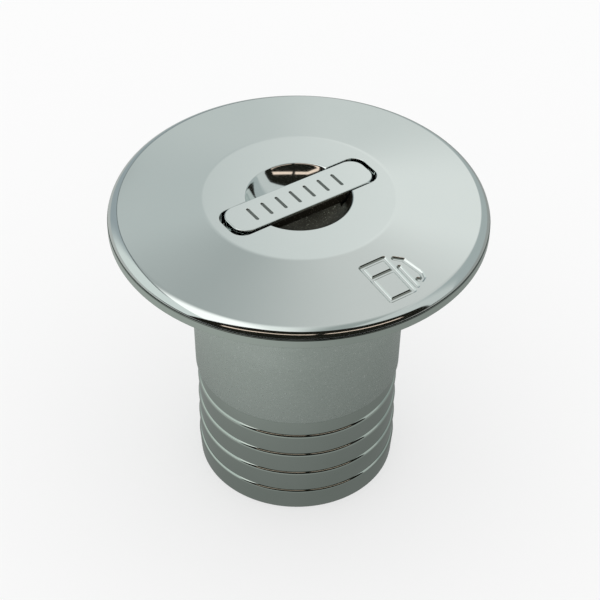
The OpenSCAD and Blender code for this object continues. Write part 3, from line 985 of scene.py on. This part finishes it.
def cast_material():
    """The body: a bright cast skin on the barrel and flange, turned smooth at the barbs, with painted
    shade as dark lines along the rim's two edges, at the seam under the cap and under the flange."""
    made, tree, shader, spot = material("cast_body_metal", 1.0)
    z = node(tree, "ShaderNodeSeparateXYZ", {0: spot}).outputs[2]
    reach = axis_distance(tree, spot)
    zone = barb_zone_h * MM
    skin = product(tree, step(tree, z, zone - 0.0002, zone + 0.0004),
                   step(tree, reach, SKIN_R + 0.0010, SKIN_R),
                   step(tree, reach, (bore_r + 0.5) * MM, (bore_r + 1) * MM))
    grain = noise(tree, spot, 3400, 2.0, 0.6)
    lumps = noise(tree, spot, 900, 3.0, 0.6)
    mottle = noise(tree, spot, 70, 3.0)
    lathe_marks = noise(tree, scaled(tree, spot, 30, 30, 5200), 1.0, 2.0)

    turned = blend(tree, mottle, (0.54, 0.60, 0.55, 1), (0.62, 0.67, 0.63, 1))
    light = blend(tree, mottle, (0.57, 0.63, 0.585, 1), (0.65, 0.70, 0.665, 1))
    # painted glints: bright specks in the skin's colour
    sparkle = product(tree, step(tree, grain, 0.60, 0.68), step(tree, lumps, 0.46, 0.56))
    light = blend(tree, sparkle, light, (0.93, 0.96, 0.93, 1))
    light = blend(tree, step(tree, grain, 0.36, 0.28), light, (0.40, 0.44, 0.41, 1))
    colour = blend(tree, skin, turned, light)

    # painted shade: dark lines along the flange rim's top edge, at the seam under the cap, and its
    # bottom edge, over the neck
    above, below = (flange_top - 0.28) * MM, (flange_top - flange_t + 0.30) * MM
    edge = calc(tree, "MAXIMUM", step(tree, z, above, above + 0.0001),
                step(tree, z, below, below - 0.0001))
    edge = product(tree, edge, step(tree, reach, RIM_R - 0.0002, RIM_R), 0.75)
    colour = blend(tree, edge, colour, (0.06, 0.07, 0.06, 1))

    rough_turned = spread(tree, lathe_marks, 0.03, 0.08)
    rough = mix_value(tree, skin, rough_turned, spread(tree, grain, 0.20, 0.38))
    bumps = calc(tree, "ADD", calc(tree, "MULTIPLY", grain, 0.30), calc(tree, "MULTIPLY", lumps, 0.55))
    height = calc(tree, "ADD", product(tree, bumps, skin), calc(tree, "MULTIPLY", lathe_marks, 0.004))
    wire(tree, shader, colour, rough, height, 0.00008)
    return made


def steel_material():
    """Turned stainless steel: rings from the lathe, and a little staining."""
    made, tree, shader, spot = material("turned_stainless", 1.0)
    rings = noise(tree, scaled(tree, spot, 200, 200, 4000), 1.0, 2.0)
    stain = noise(tree, spot, 120, 4.0)
    colour = blend(tree, stain, (0.60, 0.60, 0.58, 1), (0.70, 0.70, 0.69, 1))
    wire(tree, shader, colour, spread(tree, rings, 0.18, 0.36), rings, 0.000012)
    return made


def nylon_material():
    """Black moulded nylon, with flow marks and light scuffs on its crests."""
    made, tree, shader, spot = material("moulded_nylon", 0.0)
    fine = noise(tree, spot, 1600, 3.0)
    flow = noise(tree, spot, 110, 3.0)
    scuff = calc(tree, "MULTIPLY", edge_share(tree, 0.0002), step(tree, flow, 0.40, 0.70))
    base = blend(tree, flow, (0.020, 0.021, 0.022, 1), (0.034, 0.034, 0.036, 1))
    colour = blend(tree, scuff, base, (0.09, 0.09, 0.09, 1))
    wire(tree, shader, colour, spread(tree, flow, 0.38, 0.55), fine, 0.000015)
    return made


def rubber_material():
    """Black seal rubber with a dull bloom."""
    made, tree, shader, spot = material("seal_rubber", 0.0, 0.35)
    fine = noise(tree, spot, 2200, 3.0)
    bloom = noise(tree, spot, 180, 4.0, 0.6)
    colour = blend(tree, step(tree, bloom, 0.45, 0.75), (0.012, 0.012, 0.012, 1),
                   (0.045, 0.045, 0.043, 1))
    wire(tree, shader, colour, spread(tree, bloom, 0.55, 0.80), fine, 0.00002)
    return made


def dress(pieces, materials):
    """Gives each new piece and each CAD node that still shows the material of its slot."""
    for name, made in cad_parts.items():
        slot = made.data.materials[0].name
        made.data.materials.clear()
        made.data.materials.append(materials[slot])
    for made in pieces:
        made.data.materials.clear()
        made.data.materials.append(materials[made["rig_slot"]])


# ---- camera, floor and light ----

VIEW_AZIMUTH = math.radians(-35)
VIEW_ELEVATION = math.radians(39.046)
VIEW_DISTANCE = 0.5
VIEW_FOCAL_MM = 120.743
VIEW_SENSOR_MM = 36.0
VIEW_ROLL = math.radians(-0.672)
VIEW_YAW = math.radians(0.061)
VIEW_PITCH = math.radians(-2.530)
FLOOR_DARK = 0.22       # how bright metal sees the floor beside the neck: painted shade, darker than further out
FLOOR_GREY = 0.41       # and how bright further out
FLOOR_HALF_SIZE = 6.0


def view_axes():
    """Directions of the picture's right, its up and the way back to the camera."""
    a, e = VIEW_AZIMUTH, VIEW_ELEVATION
    right = Vector((math.cos(a), math.sin(a), 0))
    up = Vector((-math.sin(a) * math.sin(e), math.cos(a) * math.sin(e), math.cos(e)))
    back = Vector((math.sin(a) * math.cos(e), -math.cos(a) * math.cos(e), math.sin(e)))
    return right, up, back


def level_axes():
    """Level directions towards the camera and to the picture's right."""
    toward = Vector((math.sin(VIEW_AZIMUTH), -math.cos(VIEW_AZIMUTH), 0))
    return toward, view_axes()[0]


def make_camera():
    right, up, back = view_axes()
    data = bpy.data.cameras.new("view_camera")
    data.lens = VIEW_FOCAL_MM
    data.sensor_width = VIEW_SENSOR_MM
    data.clip_start = 0.01
    data.clip_end = 20
    camera = bpy.data.objects.new("view_camera", data)
    bpy.context.scene.collection.objects.link(camera)
    basis = Matrix((right, up, -back)).transposed()
    a, b = VIEW_YAW, VIEW_PITCH
    ahead = basis @ Vector((math.sin(a) * math.cos(b), math.sin(b), math.cos(a) * math.cos(b)))
    across_view = basis @ Vector((math.cos(a), 0, -math.sin(a)))
    over = basis @ Vector((-math.sin(a) * math.sin(b), math.cos(b), -math.cos(a) * math.sin(b)))
    s, c = math.sin(VIEW_ROLL), math.cos(VIEW_ROLL)
    x_axis = c * across_view - s * over
    y_axis = s * across_view + c * over
    turn = Matrix((x_axis, y_axis, -ahead)).transposed().to_4x4()
    target = Vector((0, 0, flange_top * MM))
    camera.matrix_world = Matrix.Translation(target + back * VIEW_DISTANCE) @ turn
    bpy.context.scene.camera = camera


def make_floor():
    """A plain pale floor. Metal sees it as a photographer's grey card that falls to black
    towards the camera's side."""
    shaped = bmesh.new()
    bmesh.ops.create_grid(shaped, x_segments=2, y_segments=2, size=FLOOR_HALF_SIZE)
    mesh = bpy.data.meshes.new("floor")
    shaped.to_mesh(mesh)
    shaped.free()
    floor = bpy.data.objects.new("floor", mesh)
    bpy.context.scene.collection.objects.link(floor)
    made = bpy.data.materials.new("pale_floor")
    made.use_nodes = True
    tree = made.node_tree
    tree.nodes.clear()
    spot = tree.nodes.new("ShaderNodeTexCoord").outputs["Object"]
    toward, right = level_axes()
    # painted shade: metal sees the floor darker next to the neck, where the flange shades it
    far = step(tree, axis_distance(tree, spot), 0.024, 0.100)
    dark = step(tree, dot(tree, spot, toward), 0.24, 0.32)
    side = step(tree, dot(tree, spot, right), -0.07, 0.07)
    seen = product(tree, spread(tree, far, FLOOR_DARK, FLOOR_GREY), spread(tree, dark, 1.0, 0.03),
                   spread(tree, side, 1.2, 0.85))
    glow = node(tree, "ShaderNodeEmission", {"Color": (0.95, 1, 0.975, 1), "Strength": seen})
    matt = node(tree, "ShaderNodeBsdfDiffuse", {"Color": (0.90, 0.90, 0.90, 1)})
    lift = node(tree, "ShaderNodeEmission", {"Color": (1, 1, 1, 1), "Strength": 1.0})
    pale = node(tree, "ShaderNodeMixShader", {0: 0.55, 1: matt.outputs[0], 2: lift.outputs[0]})
    glossy = tree.nodes.new("ShaderNodeLightPath").outputs["Is Glossy Ray"]
    both = node(tree, "ShaderNodeMixShader", {0: glossy, 1: pale.outputs[0], 2: glow.outputs[0]})
    node(tree, "ShaderNodeOutputMaterial", {"Surface": both.outputs[0]})
    floor.data.materials.append(made)


def make_world():
    """Soft studio light. What polished metal mirrors is a painted light tent: a pale back,
    grey side walls with a seam on the left, a soft box overhead, and a black drape on the
    camera's side with one thin warm lamp in it. A plane through the part gives each edge."""
    world = bpy.data.worlds.new("studio")
    bpy.context.scene.world = world
    world.use_nodes = True
    tree = world.node_tree
    tree.nodes.clear()
    way = tree.nodes.new("ShaderNodeTexCoord").outputs["Generated"]
    toward, right = level_axes()

    def plane(u, v, w):
        """How far the way looked lies on one side of a plane: u right, v to the camera, w up."""
        return dot(tree, way, right * u + toward * v + Vector((0, 0, w)))

    def past(value, edge=0.0, soft=0.02):
        return step(tree, value, edge - soft, edge + soft)

    u, v, w = plane(1, 0, 0), plane(0, 1, 0), plane(0, 0, 1)
    high = calc(tree, "MAXIMUM", w, 0.05)
    beside, ahead = calc(tree, "DIVIDE", u, high), calc(tree, "DIVIDE", v, high)

    # the tent's back and right walls
    room = blend(tree, step(tree, beside, -0.20, 0.15),
                 (0.51, 0.555, 0.55, 1), (0.80, 0.83, 0.815, 1))
    low_back = product(tree, step(tree, ahead, -1.5, -2.2), 0.7)
    room = blend(tree, low_back, room, (0.58, 0.62, 0.61, 1))
    high_back = product(tree, step(tree, ahead, -1.15, -0.75), 0.22)
    room = blend(tree, high_back, room, (0, 0, 0, 1))
    right_wall = step(tree, plane(-1, 0, 0.50), 0.05, -0.12)
    room = blend(tree, right_wall, room, (0.40, 0.45, 0.45, 1))

    # the box overhead, white on the left, grey on the right
    box = blend(tree, step(tree, beside, -0.32, -0.10), (1.18, 1.20, 1.18, 1), (0.88, 0.92, 0.90, 1))
    box = blend(tree, step(tree, beside, -0.10, 0.20), box, (0.34, 0.38, 0.37, 1))
    box = blend(tree, step(tree, beside, 0.36, 0.46), box, (0.57, 0.61, 0.60, 1))
    room = blend(tree, product(tree, step(tree, ahead, -0.55, 0.0), past(w)), room, box)

    # the left wall and the dark seam along its edge
    seam = calc(tree, "MAXIMUM", plane(0.866, 0.5, 0.833), plane(1, 0, 0.43))
    left_wall = blend(tree, step(tree, v, -0.40, -0.70), (0.70, 0.76, 0.74, 1), (0.33, 0.38, 0.40, 1))
    room = blend(tree, past(seam, 0.0, -0.01), room, left_wall)
    line = product(tree, past(seam, -0.06), past(seam, 0.0, -0.015), step(tree, v, 0.10, -0.15))
    room = blend(tree, line, room, (0.12, 0.14, 0.14, 1))

    # the black drape on the camera's side
    drape = product(tree, past(plane(0.6, 1, -0.32)), past(plane(0, 1, -0.52)),
                    past(plane(-0.30, 1, 0)), past(w, -0.30))
    room = blend(tree, drape, room, (0.010, 0.010, 0.007, 1))

    # the thin warm lamp in the drape, with a short gap
    bent = calc(tree, "MAXIMUM", plane(-0.55, 0, -0.275), 0.0)
    lamp = calc(tree, "SUBTRACT", plane(0, 1, -1.42), bent)
    lamp = product(tree, past(lamp, -0.07), past(lamp, 0.07, -0.02), past(plane(1.15, 1, 0)),
                   past(plane(-0.62, 1, 0)))
    gap = product(tree, past(plane(1, 0, -0.25)), past(plane(-1, 0, 0.42)), past(w))
    lamp = product(tree, lamp, calc(tree, "SUBTRACT", 1.0, gap), past(w, 0.08))
    room = blend(tree, lamp, room, (1.0, 0.80, 0.66, 1))

    mirrored = node(tree, "ShaderNodeBackground", {"Color": room, "Strength": 1.0})
    soft = node(tree, "ShaderNodeBackground", {"Color": (1, 1, 1, 1), "Strength": 1.05})
    glossy = tree.nodes.new("ShaderNodeLightPath").outputs["Is Glossy Ray"]
    mixed = node(tree, "ShaderNodeMixShader",
                 {0: glossy, 1: soft.outputs[0], 2: mirrored.outputs[0]})
    node(tree, "ShaderNodeOutputWorld", {"Surface": mixed.outputs[0]})


make_camera()
pieces = [make_body(), make_cap(), make_handle(), make_sleeve(), make_bush(), make_ring(),
          make_plate(), make_eye()]
pieces += [make_screw(i) for i in range(plate_screw_count)]
dress(pieces, {"polished_cap": chrome_material(), "cast_body": cast_material(),
               "turned_steel": steel_material(), "nylon": nylon_material(),
               "rubber_seal": rubber_material()})
make_floor()
make_world()
bpy.context.scene.view_settings.view_transform = "Standard"
